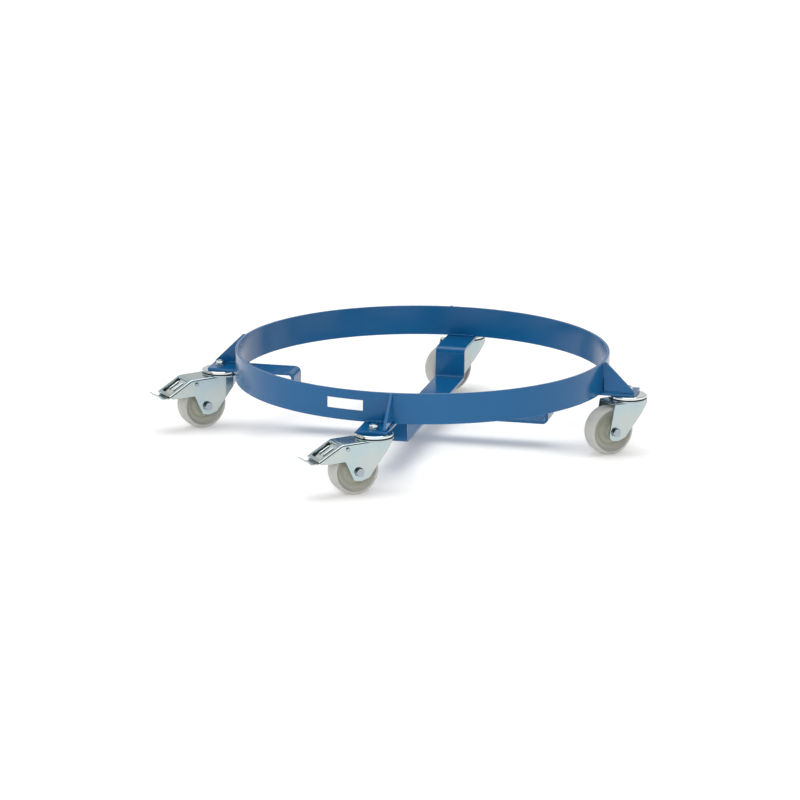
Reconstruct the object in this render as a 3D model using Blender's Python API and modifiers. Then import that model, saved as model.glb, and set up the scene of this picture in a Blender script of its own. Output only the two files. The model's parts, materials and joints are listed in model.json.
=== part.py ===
"""Drum dolly: a guide ring on two crossed, hat-bent steel strips, carried by four swivel casters.

Metres, +Z up. The origin is on the ring's axis, at the top face of the front-to-back strip's low run.
The front and left casters have a foot brake. All four forks trail the same way.
"""

import math

import bmesh
import bpy
from mathutils import Matrix, Vector

GAP = 0.0003  # between two pieces that touch

# Flat bar of the frame
BAR_WIDTH = 0.050
BAR_THICKNESS = 0.005

# Guide ring
RING_INNER_RADIUS = 0.305
RING_OUTER_RADIUS = RING_INNER_RADIUS + BAR_THICKNESS
RING_STEPS = 80

# Cross strips: the flanges carry the ring and the casters, the risers go down to the low run
FLANGE_TOP = 0.050
FLANGE_BOTTOM = FLANGE_TOP - BAR_THICKNESS
FLANGE_END = 0.362
RISER_RADIUS = 0.216
BEND_RADIUS = 0.0075
BEND_STEPS = 3
RING_BOTTOM = FLANGE_TOP + GAP
RING_TOP = RING_BOTTOM + BAR_WIDTH

# Gussets
GUSSET_THICKNESS = 0.005
GUSSET_OFFSET = 0.0197
GUSSET_REACH = 0.0500
GUSSET_TIP = 0.003

# Blank label on the ring
LABEL_AZIMUTH = -100.7
LABEL_LENGTH = 0.062
LABEL_HEIGHT = 0.017
LABEL_BOTTOM = 0.0185
LABEL_THICKNESS = 0.0004
LABEL_STEPS = 6

# Caster, in its own space: origin on the swivel axis at the flange's underside, +X the way it trails
CASTER_HEIGHT = 0.0965
KINGPIN_RADIUS = 0.3465
TRAIL = 0.0365
WHEEL_RADIUS = 0.040
AXLE_HEIGHT = WHEEL_RADIUS - CASTER_HEIGHT

# name: (azimuth of the kingpin, azimuth that the fork trails to, foot brake)
CASTERS = {
    "front": (-90.0, 219.5, True),
    "right": (0.0, 222.7, False),
    "back": (90.0, 222.7, False),
    "left": (180.0, 222.7, True),
}
TURN_STEPS = 24
HOLE_STEPS = 16

# Swivel head
CUP_RADIUS = 0.031
CUP_RIM = -0.0048
CUP_BOSS = -0.0065
CROWN_TOP = -0.0070
CROWN_BOTTOM = -0.0115
CROWN_RADIUS = 0.0320
BALL_CIRCLE = 0.0205
BALL_RADIUS = 0.0018
BALL_HEIGHT = -0.0049

# Kingpin, an M8 bolt with its nut
KINGPIN_SHANK = 0.0040
KINGPIN_HOLE = 0.0045
KINGPIN_END = 0.0136
KINGPIN_HEAD_FLATS = 0.013
KINGPIN_HEAD_HEIGHT = 0.0053
KINGPIN_NUT_FLATS = 0.013
KINGPIN_NUT_HEIGHT = 0.0055
WASHER_RADIUS = 0.0085
WASHER_THICKNESS = 0.0014

# Fork, pressed from sheet
FORK_WIDTH = 0.048
SHEET = 0.0025
FORK_BEND = 0.0030
FORK_TOP = -0.0080
CORNER_RADIUS = 0.0045
CHEEK_BOTTOM = -0.0715

# Axle, an M8 bolt in a spacer tube
AXLE_SHANK = 0.0040
AXLE_HOLE = 0.0043
AXLE_FLATS = 0.013
AXLE_HEAD_HEIGHT = 0.0040
AXLE_NUT_HEIGHT = 0.0065
TUBE_RADIUS = 0.0060
TUBE_BORE = 0.0043

# Foot brake
BRAKE_PIN = Vector((0.0565, 0.0, -0.0170))
BRAKE_PIN_RADIUS = 0.0024
BRAKE_PIN_HOLE = 0.0027
BRAKE_PIN_HEAD = 0.0038
HOOD_KNEE = (0.0665, -0.0092)
HOOD_TIP = (0.1070, -0.0325)
WINDOW = (0.0690, 0.1025, 0.0160)  # start, end, half width
PEDAL_SHEET = 0.0018
PEDAL_WIDTH = 0.0370
TONGUE_WIDTH = 0.0300
SPRING_WIRE = 0.0010
SPRING_COIL = 0.00335
SPRING_TURNS = 4
SPRING_LENGTH = 0.0190

# colour (linear), roughness, metallic
FINISHES = {
    "blue_paint": ((0.030, 0.130, 0.320, 1.0), 0.22, 0.0),
    "zinc_plate": ((0.720, 0.740, 0.740, 1.0), 0.32, 1.0),
    "polyamide": ((0.720, 0.720, 0.690, 1.0), 0.45, 0.0),
    "bearing_steel": ((0.560, 0.570, 0.580, 1.0), 0.15, 1.0),
    "spring_steel": ((0.300, 0.310, 0.320, 1.0), 0.30, 1.0),
    "white_film": ((0.850, 0.850, 0.850, 1.0), 0.35, 0.0),
}


# Scene and collections ---------------------------------------------------------------------------

for old in list(bpy.data.objects):
    bpy.data.objects.remove(old, do_unlink=True)

parts = bpy.data.collections.new("drum_dolly")
cutters = bpy.data.collections.new("cutters")
bpy.context.scene.collection.children.link(parts)
bpy.context.scene.collection.children.link(cutters)


def make_material(name):
    colour, roughness, metallic = FINISHES[name]
    material = bpy.data.materials.new(name)
    material.use_nodes = True
    shader = material.node_tree.nodes["Principled BSDF"]
    shader.inputs["Base Color"].default_value = colour
    shader.inputs["Roughness"].default_value = roughness
    shader.inputs["Metallic"].default_value = metallic
    material.diffuse_color = colour
    return material


materials = {name: make_material(name) for name in FINISHES}


# Shape helpers -----------------------------------------------------------------------------------


def rounded(corners, radius, steps):
    """The 2D path through corners, with an arc of the radius at each inner corner."""
    points = [Vector(corner) for corner in corners]
    path = [points[0]]
    for previous, corner, following in zip(points, points[1:], points[2:]):
        before = (previous - corner).normalized()
        after = (following - corner).normalized()
        half = before.angle(after) / 2
        middle = corner + (before + after).normalized() * radius / math.sin(half)
        start = corner + before * radius / math.tan(half)
        end = corner + after * radius / math.tan(half)
        for step in range(steps + 1):
            spoke = (start - middle).normalized().slerp((end - middle).normalized(), step / steps)
            path.append(middle + spoke * radius)
    path.append(points[-1])
    return path


def new_mesh(name, bm):
    bmesh.ops.recalc_face_normals(bm, faces=bm.faces)
    mesh = bpy.data.meshes.new(name)
    bm.to_mesh(mesh)
    bm.free()
    return mesh


def add_object(name, mesh, finish=None, parent=None, location=(0, 0, 0), group=parts):
    obj = bpy.data.objects.new(name, mesh)
    group.objects.link(obj)
    obj.parent = parent
    obj.location = location
    if finish:
        mesh.materials.clear()
        mesh.materials.append(materials[finish])
        mesh.shade_smooth()
        mesh.set_sharp_from_angle(angle=math.radians(35))
    return obj


def slab(outline, low, high, axes="XZ"):
    """A flat outline in the XZ or XY plane, given thickness from low to high along the third axis."""
    bm = bmesh.new()
    if axes == "XZ":
        corners = [bm.verts.new((u, low, v)) for u, v in outline]
        lift = Vector((0, high - low, 0))
    else:
        corners = [bm.verts.new((u, v, low)) for u, v in outline]
        lift = Vector((0, 0, high - low))
    face = bm.faces.new(corners)
    extruded = bmesh.ops.extrude_face_region(bm, geom=[face])["geom"]
    raised = [item for item in extruded if isinstance(item, bmesh.types.BMVert)]
    bmesh.ops.translate(bm, verts=raised, vec=lift)
    return bm


def ribbon(path, width):
    """An open surface: the XZ path drawn out along Y to the width."""
    bm = bmesh.new()
    line = [bm.verts.new((x, -width / 2, z)) for x, z in path]
    edges = [bm.edges.new(pair) for pair in zip(line, line[1:])]
    extruded = bmesh.ops.extrude_edge_only(bm, edges=edges)["geom"]
    raised = [item for item in extruded if isinstance(item, bmesh.types.BMVert)]
    bmesh.ops.translate(bm, verts=raised, vec=(0, width, 0))
    return bm


def rod(radius, low, high, steps=HOLE_STEPS, top_radius=None):
    """A round bar along Z from low to high; six steps make a hexagon."""
    bm = bmesh.new()
    bmesh.ops.create_cone(
        bm, cap_ends=True, segments=steps, radius1=radius, depth=high - low,
        radius2=radius if top_radius is None else top_radius,
    )
    bmesh.ops.translate(bm, verts=bm.verts, vec=(0, 0, (low + high) / 2))
    return bm


def turned(name, profile, steps=TURN_STEPS):
    """A closed (radius, z) profile turned round Z, as a mesh."""
    bm = bmesh.new()
    line = [bm.verts.new((radius, 0, z)) for radius, z in profile]
    for first, second in zip(line, line[1:] + line[:1]):
        bm.edges.new((first, second))
    mesh = bpy.data.meshes.new(name)
    bm.to_mesh(mesh)
    bm.free()
    obj = add_object(name, mesh, group=cutters)
    screw = obj.modifiers.new("turn", "SCREW")
    screw.axis = "Z"
    screw.steps = steps
    screw.render_steps = steps
    screw.use_merge_vertices = True
    screw.merge_threshold = 0.00001
    return baked(obj)


def solidify(obj, thickness):
    modifier = obj.modifiers.new("thickness", "SOLIDIFY")
    modifier.thickness = thickness
    modifier.offset = 0
    modifier.use_even_offset = True


def helper(name, shape):
    """A hidden cutter made from a bmesh or a mesh."""
    mesh = new_mesh(name, shape) if isinstance(shape, bmesh.types.BMesh) else shape
    obj = add_object(name, mesh, group=cutters)
    obj.hide_render = True
    obj.display_type = "WIRE"
    return obj


def combine(obj, other, operation):
    modifier = obj.modifiers.new(f"{operation.lower()}_{other.name}", "BOOLEAN")
    modifier.operation = operation
    modifier.object = other
    modifier.solver = "EXACT"


def baked(obj, extras=()):
    """The evaluated mesh of obj, which is then removed with its helpers."""
    bpy.context.view_layer.update()
    graph = bpy.context.evaluated_depsgraph_get()
    mesh = bpy.data.meshes.new_from_object(obj.evaluated_get(graph))
    mesh.name = obj.name
    bm = bmesh.new()
    bm.from_mesh(mesh)
    bmesh.ops.remove_doubles(bm, verts=bm.verts, dist=0.000002)
    bmesh.ops.recalc_face_normals(bm, faces=bm.faces)
    bm.to_mesh(mesh)
    bm.free()
    for done in (obj, *extras):
        bpy.data.objects.remove(done, do_unlink=True)
    return mesh


def built(name, base, steps):
    """The mesh of base after each (operation, shape) in steps."""
    body = helper(name, base)
    others = []
    for operation, shape in steps:
        other = helper(f"{name}_{len(others)}", shape)
        combine(body, other, operation)
        others.append(other)
    return baked(body, others)


def along_y(shape):
    """Turns a shape that runs along Z so that it runs along Y."""
    shape.transform(Matrix.Rotation(math.radians(-90), 4, "X"))
    return shape


def moved(shape, offset):
    shape.transform(Matrix.Translation(offset))
    return shape


def empty(name, parent=None, location=(0, 0, 0), turn=0.0):
    obj = bpy.data.objects.new(name, None)
    parts.objects.link(obj)
    obj.parent = parent
    obj.location = location
    obj.rotation_euler.z = math.radians(turn)
    obj.empty_display_size = 0.02
    return obj


def polar(radius, azimuth, height):
    angle = math.radians(azimuth)
    return Vector((radius * math.cos(angle), radius * math.sin(angle), height))


# Frame -------------------------------------------------------------------------------------------


def make_ring():
    profile = [
        (RING_OUTER_RADIUS, RING_TOP),
        (RING_OUTER_RADIUS, RING_BOTTOM),
        (RING_INNER_RADIUS, RING_BOTTOM),
        (RING_INNER_RADIUS, RING_TOP),
    ]
    return add_object("guide_ring", turned("guide_ring", profile, RING_STEPS), "blue_paint")


def make_strip(name, azimuth, low_run_top):
    """One flat bar: flange, riser, low run, riser, flange, with a kingpin hole in each flange."""
    middle = BAR_THICKNESS / 2
    corners = [
        (-FLANGE_END, FLANGE_TOP - middle),
        (-RISER_RADIUS, FLANGE_TOP - middle),
        (-RISER_RADIUS, low_run_top - middle),
        (RISER_RADIUS, low_run_top - middle),
        (RISER_RADIUS, FLANGE_TOP - middle),
        (FLANGE_END, FLANGE_TOP - middle),
    ]
    mesh = new_mesh(name, ribbon(rounded(corners, BEND_RADIUS, BEND_STEPS), BAR_WIDTH))
    strip = add_object(name, mesh, "blue_paint")
    strip.rotation_euler.z = math.radians(azimuth)
    solidify(strip, BAR_THICKNESS)
    for side in (-1, 1):
        drill = helper(f"{name}_hole_{side}", rod(KINGPIN_HOLE, 0, FLANGE_TOP + BAR_THICKNESS))
        drill.parent = strip
        drill.location.x = side * KINGPIN_RADIUS
        combine(strip, drill, "DIFFERENCE")
    return strip


def make_gusset(name, azimuth, side):
    """A triangular plate that stands on the flange's edge and stiffens the ring."""
    foot = RING_OUTER_RADIUS + GAP
    outline = [
        (foot, RING_BOTTOM),
        (foot + GUSSET_REACH, RING_BOTTOM),
        (foot + GUSSET_REACH, RING_BOTTOM + GUSSET_TIP),
        (foot + GUSSET_TIP, RING_TOP),
        (foot, RING_TOP),
    ]
    centre = side * GUSSET_OFFSET
    half = GUSSET_THICKNESS / 2
    # Off the axis the ring curves away, so the foot follows its outer face.
    bm = slab(outline, centre - half, centre + half)
    for vertex in bm.verts:
        if vertex.co.x < foot + GUSSET_TIP / 2:
            vertex.co.x = math.sqrt(foot**2 - vertex.co.y**2) + GAP
    gusset = add_object(name, new_mesh(name, bm), "blue_paint")
    gusset.rotation_euler.z = math.radians(azimuth)
    return gusset


def make_label():
    """A thin blank label, bent to the ring's outer face."""
    radius = RING_OUTER_RADIUS + 3 * GAP
    half_turn = math.degrees(LABEL_LENGTH / radius) / 2
    bm = bmesh.new()
    bottom = []
    for step in range(LABEL_STEPS + 1):
        azimuth = LABEL_AZIMUTH - half_turn + 2 * half_turn * step / LABEL_STEPS
        bottom.append(bm.verts.new(polar(radius, azimuth, RING_BOTTOM + LABEL_BOTTOM)))
    edges = [bm.edges.new(pair) for pair in zip(bottom, bottom[1:])]
    raised = bmesh.ops.extrude_edge_only(bm, edges=edges)["geom"]
    top = [item for item in raised if isinstance(item, bmesh.types.BMVert)]
    bmesh.ops.translate(bm, verts=top, vec=(0, 0, LABEL_HEIGHT))
    label = add_object("blank_label", new_mesh("blank_label", bm), "white_film")
    solidify(label, LABEL_THICKNESS)
    return label


# Swivel head -------------------------------------------------------------------------------------


def cup_mesh():
    """The upper bearing cup: a dished disc under the flange, with a boss that the kingpin clamps."""
    profile = [
        (0.0245, -GAP),
        (0.0294, -0.0008),
        (CUP_RADIUS, -0.0018),
        (CUP_RADIUS, CUP_RIM),
        (0.0292, CUP_RIM),
        (0.0286, -0.0036),
        (0.0240, -0.0027),
        (0.0140, -0.0027),
        (0.0125, CUP_BOSS),
        (KINGPIN_HOLE, CUP_BOSS),
        (KINGPIN_HOLE, -GAP),
    ]
    return turned("raceway_cup", profile)


def ball_ring_mesh():
    """The bearing's ring of balls, as one torus."""
    arc = [
        (
            BALL_CIRCLE + BALL_RADIUS * math.cos(math.radians(angle)),
            BALL_HEIGHT + BALL_RADIUS * math.sin(math.radians(angle)),
        )
        for angle in range(0, -360, -60)
    ]
    return turned("ball_ring", arc, 20)


def hex_radius(flats):
    return flats / math.sqrt(3)


def chamfered_hex(flats, low, high, chamfer=0.0008):
    """A hexagonal prism, later trimmed to a round chamfer at its outer end by the returned cone."""
    prism = rod(hex_radius(flats), low, high, steps=6)
    cone = rod(flats / 2 + (high - low) * 2, low, high, top_radius=flats / 2 - chamfer / 2)
    return prism, cone


def kingpin_bolt_mesh():
    top = CROWN_BOTTOM - GAP
    shank = rod(KINGPIN_SHANK, top - KINGPIN_HEAD_HEIGHT / 2, KINGPIN_END)
    head = rod(hex_radius(KINGPIN_HEAD_FLATS), top - KINGPIN_HEAD_HEIGHT, top, steps=6)
    return built("kingpin_bolt", head, [("UNION", shank)])


def washer_mesh():
    low = BAR_THICKNESS + GAP
    profile = [
        (WASHER_RADIUS, low + WASHER_THICKNESS),
        (WASHER_RADIUS, low),
        (KINGPIN_HOLE, low),
        (KINGPIN_HOLE, low + WASHER_THICKNESS),
    ]
    return turned("kingpin_washer", profile)


def kingpin_nut_mesh():
    low = BAR_THICKNESS + WASHER_THICKNESS + 2 * GAP
    high = low + KINGPIN_NUT_HEIGHT
    prism, cone = chamfered_hex(KINGPIN_NUT_FLATS, low, high)
    bore = rod(KINGPIN_SHANK + GAP, low - 1, high + 1)
    return built("kingpin_nut", prism, [("INTERSECT", cone), ("DIFFERENCE", bore)])


# Fork --------------------------------------------------------------------------------------------


def crown_profile():
    return [
        (0.0300, CROWN_TOP),
        (CROWN_RADIUS, CROWN_TOP - 0.0014),
        (CROWN_RADIUS, CROWN_BOTTOM + 0.0016),
        (0.0300, CROWN_BOTTOM),
        (0.0020, CROWN_BOTTOM),
        (0.0020, CROWN_TOP),
    ]


def plain_outline():
    """Side view of a plain fork: the trailing leg comes down to a rounded boss at the axle."""
    corners = [
        (-0.0290, FORK_TOP),
        (-0.0310, -0.0150),
        (0.0030, -0.0480),
        (0.0185, -0.0670),
        (0.0330, CHEEK_BOTTOM),
        (0.0465, -0.0700),
        (0.0490, -0.0605),
        (0.0388, FORK_TOP),
    ]
    return rounded(corners, CORNER_RADIUS, 3)


def braked_outline():
    """Side view of a braked fork: a hood runs on over the wheel and bends down at its knee."""
    leg = [
        (-0.0235, FORK_TOP),
        (-0.0255, -0.0150),
        (0.0035, -0.0465),
        (0.0190, -0.0670),
        (0.0330, CHEEK_BOTTOM),
        (0.0455, -0.0700),
        (0.0610, -0.0370),
    ]
    hood = [(0.0940, -0.0382), (0.1040, -0.0375), HOOD_TIP, HOOD_KNEE, (0.0300, FORK_TOP)]
    return rounded(leg, CORNER_RADIUS, 3) + hood


def plan_outline(inset, reach):
    """Plan view of the fork: parallel cheeks that close in behind the swivel axis."""
    half = FORK_WIDTH / 2 - inset
    side = [
        (reach, half),
        (0.0, half),
        (-0.0130, half - 0.0030),
        (-0.0260, half - 0.0090),
        (-0.0400, half - 0.0170),
    ]
    return side + [(x, -y) for x, y in reversed(side)]


def bend_top(bm, radius, steps, slope=0.6):
    """Rounds the long edges where the top sheet turns down into the cheeks."""
    bmesh.ops.recalc_face_normals(bm, faces=bm.faces)
    bm.normal_update()
    chosen = []
    for edge in bm.edges:
        if len(edge.link_faces) != 2:
            continue
        tops = [face for face in edge.link_faces if face.normal.z > slope]
        sides = [face for face in edge.link_faces if abs(face.normal.y) > slope]
        if tops and sides:
            chosen.append(edge)
    bmesh.ops.bevel(bm, geom=chosen, offset=radius, segments=steps, profile=0.5, affect="EDGES")
    return bm


def hood_inside(braked):
    """Side view of the room under the sheet, open at the bottom, front and back."""
    roof = FORK_TOP - SHEET
    floor = CHEEK_BOTTOM - 0.02
    if not braked:
        return [(-0.05, roof), (-0.05, floor), (0.06, floor), (0.06, roof)]
    slope = (HOOD_TIP[1] - HOOD_KNEE[1]) / (HOOD_TIP[0] - HOOD_KNEE[0])
    drop = SHEET * 1.1
    return [
        (-0.05, roof),
        (-0.05, floor),
        (0.13, floor),
        (0.13, HOOD_TIP[1] + (0.13 - HOOD_TIP[0]) * slope - drop),
        (HOOD_KNEE[0] - 0.0005, HOOD_KNEE[1] - drop),
        (0.0295, roof),
    ]


def fork_mesh(braked):
    half = FORK_WIDTH / 2
    outline = braked_outline() if braked else plain_outline()
    outer = bend_top(slab(outline, -half, half), FORK_BEND, 3)
    plan = slab(plan_outline(0.0, 0.15), CHEEK_BOTTOM - 0.01, 0.0, axes="XY")
    inside = bend_top(slab(hood_inside(braked), -half + SHEET, half - SHEET), FORK_BEND - SHEET, 1)
    inside_plan = slab(plan_outline(SHEET, 0.16), CHEEK_BOTTOM - 0.03, 0.0, axes="XY")
    inside_mesh = built("fork_inside", inside, [("INTERSECT", inside_plan)])
    axle_hole = along_y(rod(AXLE_HOLE, -half - 0.01, half + 0.01))
    steps = [
        ("INTERSECT", plan),
        ("UNION", turned("crown", crown_profile())),
        ("DIFFERENCE", inside_mesh),
        ("DIFFERENCE", rod(KINGPIN_HOLE, CROWN_BOTTOM - 0.01, 0.0)),
        ("DIFFERENCE", moved(axle_hole, (TRAIL, 0, AXLE_HEIGHT))),
    ]
    if braked:
        start, end, half_window = WINDOW
        room = [(start, 0.0), (start, HOOD_TIP[1]), (end, HOOD_TIP[1] - 0.01), (end, 0.0)]
        window = slab(room, -half_window, half_window)
        pin_hole = along_y(rod(BRAKE_PIN_HOLE, -half - 0.01, half + 0.01))
        steps.append(("DIFFERENCE", window))
        steps.append(("DIFFERENCE", moved(pin_hole, BRAKE_PIN)))
    return built("fork_braked" if braked else "fork_plain", outer, steps)


# Wheel and axle, about the axle along Y ----------------------------------------------------------


def wheel_mesh():
    """A solid wheel: crowned tread, thin rim, stepped dish on both sides, and a long hub."""
    side = [
        (WHEEL_RADIUS, 0.0095),
        (0.0390, 0.0128),
        (0.0365, 0.0145),
        (0.0345, 0.0145),
        (0.0300, 0.0085),
        (0.0220, 0.0065),
        (0.0160, 0.0075),
        (0.0130, 0.0190),
        (TUBE_RADIUS + 0.0002, 0.0190),
    ]
    profile = list(reversed(side)) + [(radius, -across) for radius, across in side]
    return along_y(turned("wheel", profile, 28))


def tube_mesh():
    half = FORK_WIDTH / 2 - SHEET - GAP
    profile = [(TUBE_RADIUS, half), (TUBE_RADIUS, -half), (TUBE_BORE, -half), (TUBE_BORE, half)]
    return along_y(turned("axle_tube", profile, HOLE_STEPS))


def axle_bolt_mesh():
    half = FORK_WIDTH / 2
    head, cone = chamfered_hex(AXLE_FLATS, half + GAP, half + GAP + AXLE_HEAD_HEIGHT)
    shank = rod(AXLE_SHANK, -half - AXLE_NUT_HEIGHT - 0.0015, half + 0.002)
    return along_y(built("axle_bolt", head, [("INTERSECT", cone), ("UNION", shank)]))


def axle_nut_mesh():
    half = FORK_WIDTH / 2
    prism, cone = chamfered_hex(AXLE_FLATS, half + GAP, half + GAP + AXLE_NUT_HEIGHT)
    bore = rod(AXLE_SHANK + GAP, half - 1, half + 1)
    mesh = along_y(built("axle_nut", prism, [("INTERSECT", cone), ("DIFFERENCE", bore)]))
    mesh.transform(Matrix.Rotation(math.pi, 4, "Z"))
    return mesh


# Foot brake, about its pin -----------------------------------------------------------------------


def pedal_mesh():
    """A channel under the hood: roof with two ribs, side lugs on the pin, shoe and upturned tongue."""
    half = PEDAL_WIDTH / 2
    slope = [(0.0060, 0.0039), (0.0090, 0.0038), (0.0375, -0.0126), (0.0500, -0.0214)]
    tongue = [(0.0610, -0.0214), (0.0690, -0.0138)]
    roof = rounded(slope + tongue, 0.0060, 3)
    sheet = helper("pedal_roof", ribbon(roof, PEDAL_WIDTH))
    solidify(sheet, PEDAL_SHEET)
    roof_mesh = baked(sheet)
    lug = [
        (-0.0030, 0.0037),
        (-0.0045, 0.0020),
        (-0.0045, -0.0035),
        (0.0000, -0.0055),
        (0.0160, -0.0105),
        (0.0445, -0.0201),
        (0.0445, -0.0176),
        (0.0375, -0.0127),
        (0.0095, 0.0035),
        (0.0055, 0.0044),
    ]
    steps = [
        ("UNION", slab(lug, -half, -half + PEDAL_SHEET)),
        ("UNION", slab(lug, half - PEDAL_SHEET, half)),
    ]
    shoe = [(0.0120, 0.0020), (0.0120, -0.0075), (0.0160, -0.0115), (0.0240, -0.0140), (0.0262, -0.0057)]
    steps.append(("UNION", slab(shoe, -0.0090, 0.0090)))
    for side in (-1, 1):
        rib = [(0.0155, -0.0001), (0.0180, 0.0020), (0.0365, -0.0087), (0.0390, -0.0132)]
        steps.append(("UNION", slab(rib, side * 0.0072 - 0.0020, side * 0.0072 + 0.0020)))
    beside = [(0.0500, -0.05), (0.0900, -0.05), (0.0900, 0.02), (0.0500, 0.02)]
    steps.append(("DIFFERENCE", slab(beside, -half - 0.01, -TONGUE_WIDTH / 2)))
    steps.append(("DIFFERENCE", slab(beside, TONGUE_WIDTH / 2, half + 0.01)))
    steps.append(("DIFFERENCE", along_y(rod(BRAKE_PIN_HOLE, -0.03, 0.03))))
    return built("brake_pedal", roof_mesh, steps)


def brake_pin_mesh():
    half = FORK_WIDTH / 2
    head_low = half + GAP
    pin = rod(BRAKE_PIN_RADIUS, -half - 0.0012, head_low + 0.0006)
    steps = []
    for side in (-1, 1):
        low = head_low if side > 0 else -head_low - 0.0014
        steps.append(("UNION", rod(BRAKE_PIN_HEAD, low, low + 0.0014)))
    return along_y(built("brake_pin", pin, steps))


def spring_mesh():
    """A torsion spring round the brake pin, as a wire helix with straight ends."""
    per_turn = 10
    count = SPRING_TURNS * per_turn
    curve = bpy.data.curves.new("brake_spring", "CURVE")
    curve.dimensions = "3D"
    curve.bevel_depth = SPRING_WIRE / 2
    curve.bevel_resolution = 0
    curve.use_fill_caps = True
    spline = curve.splines.new("POLY")
    spline.points.add(count)
    for index in range(count + 1):
        angle = 2 * math.pi * index / per_turn
        across = SPRING_LENGTH * (index / count - 0.5)
        x = SPRING_COIL * math.cos(angle)
        z = SPRING_COIL * math.sin(angle)
        spline.points[index].co = (x, across, z, 1)
    obj = bpy.data.objects.new("brake_spring", curve)
    cutters.objects.link(obj)
    return baked(obj)


# Assembly ----------------------------------------------------------------------------------------


def make_caster(where, azimuth, heading, braked, shared):
    spot = polar(KINGPIN_RADIUS, azimuth, FLANGE_BOTTOM)
    seat = empty(f"seat_{where}", location=spot, turn=azimuth)
    swivel = empty(f"swivel_{where}", location=spot, turn=heading)
    axle = empty(f"axle_{where}", swivel, (TRAIL, 0, AXLE_HEIGHT))
    kind = "braked" if braked else "plain"
    pieces = [
        ("raceway_cup", shared["cup"], "zinc_plate", seat),
        ("kingpin_bolt", shared["kingpin_bolt"], "zinc_plate", seat),
        ("kingpin_washer", shared["washer"], "zinc_plate", seat),
        ("kingpin_nut", shared["kingpin_nut"], "zinc_plate", seat),
        ("ball_ring", shared["ball_ring"], "bearing_steel", swivel),
        ("fork", shared[f"fork_{kind}"], "zinc_plate", swivel),
        ("axle_tube", shared["axle_tube"], "zinc_plate", axle),
        ("axle_bolt", shared["axle_bolt"], "zinc_plate", axle),
        ("axle_nut", shared["axle_nut"], "zinc_plate", axle),
        ("wheel", shared["wheel"], "polyamide", axle),
    ]
    if braked:
        pivot = empty(f"brake_pivot_{where}", swivel, BRAKE_PIN)
        pieces += [
            ("brake_pedal", shared["pedal"], "zinc_plate", pivot),
            ("brake_pin", shared["brake_pin"], "zinc_plate", pivot),
            ("brake_spring", shared["spring"], "spring_steel", pivot),
        ]
    for name, mesh, finish, parent in pieces:
        add_object(f"{name}_{where}", mesh, finish, parent)


make_ring()
make_strip("cross_strip_front_back", 90.0, 0.0)
make_strip("cross_strip_left_right", 0.0, -BAR_THICKNESS - GAP)
for place, (bearing, *_) in CASTERS.items():
    make_gusset(f"gusset_{place}", bearing, 1 if place in ("front", "back") else -1)
make_label()

shared_meshes = {
    "cup": cup_mesh(),
    "kingpin_bolt": kingpin_bolt_mesh(),
    "washer": washer_mesh(),
    "kingpin_nut": kingpin_nut_mesh(),
    "ball_ring": ball_ring_mesh(),
    "fork_plain": fork_mesh(False),
    "fork_braked": fork_mesh(True),
    "axle_tube": tube_mesh(),
    "axle_bolt": axle_bolt_mesh(),
    "axle_nut": axle_nut_mesh(),
    "wheel": wheel_mesh(),
    "pedal": pedal_mesh(),
    "brake_pin": brake_pin_mesh(),
    "spring": spring_mesh(),
}
for place, (bearing, trailing, has_brake) in CASTERS.items():
    make_caster(place, bearing, trailing, has_brake, shared_meshes)
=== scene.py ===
import json
import math

import bmesh
import bpy
from mathutils import Matrix, Vector, noise


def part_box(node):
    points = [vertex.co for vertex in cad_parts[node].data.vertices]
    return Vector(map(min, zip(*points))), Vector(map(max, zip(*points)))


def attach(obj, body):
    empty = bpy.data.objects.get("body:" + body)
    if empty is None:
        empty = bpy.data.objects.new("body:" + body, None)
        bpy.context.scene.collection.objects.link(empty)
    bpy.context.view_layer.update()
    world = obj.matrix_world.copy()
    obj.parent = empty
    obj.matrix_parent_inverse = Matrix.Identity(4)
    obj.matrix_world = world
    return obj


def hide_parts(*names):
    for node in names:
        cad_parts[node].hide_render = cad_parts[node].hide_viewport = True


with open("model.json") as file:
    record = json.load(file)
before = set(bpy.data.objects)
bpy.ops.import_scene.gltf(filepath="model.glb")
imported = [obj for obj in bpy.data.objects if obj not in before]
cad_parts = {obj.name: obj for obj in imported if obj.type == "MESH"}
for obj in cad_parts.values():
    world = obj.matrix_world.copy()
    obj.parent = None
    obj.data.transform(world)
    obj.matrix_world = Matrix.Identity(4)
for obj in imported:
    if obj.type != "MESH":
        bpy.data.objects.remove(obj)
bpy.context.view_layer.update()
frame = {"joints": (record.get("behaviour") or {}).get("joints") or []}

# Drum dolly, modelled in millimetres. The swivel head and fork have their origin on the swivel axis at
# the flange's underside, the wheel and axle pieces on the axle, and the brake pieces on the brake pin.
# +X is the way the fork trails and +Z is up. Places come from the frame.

MM = 0.001
GAP = 0.3  # millimetres between pieces that are welded or bolted together, as in the CAD
PLACES = ("front", "right", "back", "left")
JOINTS = {joint["name"]: joint for joint in frame["joints"]}

# Frame, millimetres
BAR_WIDTH = 50.0
BAR_THICKNESS = 5.0
EDGE_RADIUS = 0.7
BEND_RADIUS = 7.5  # at the middle of the bar
RISER_REACH = 216.0  # from the ring's axis to the middle of a riser
KINGPIN_CIRCLE = 346.5
GUSSET_ACROSS = 19.7  # from the strip's middle to the gusset's middle
GUSSET_REACH = 50.0
RING_STEPS = 320

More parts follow.
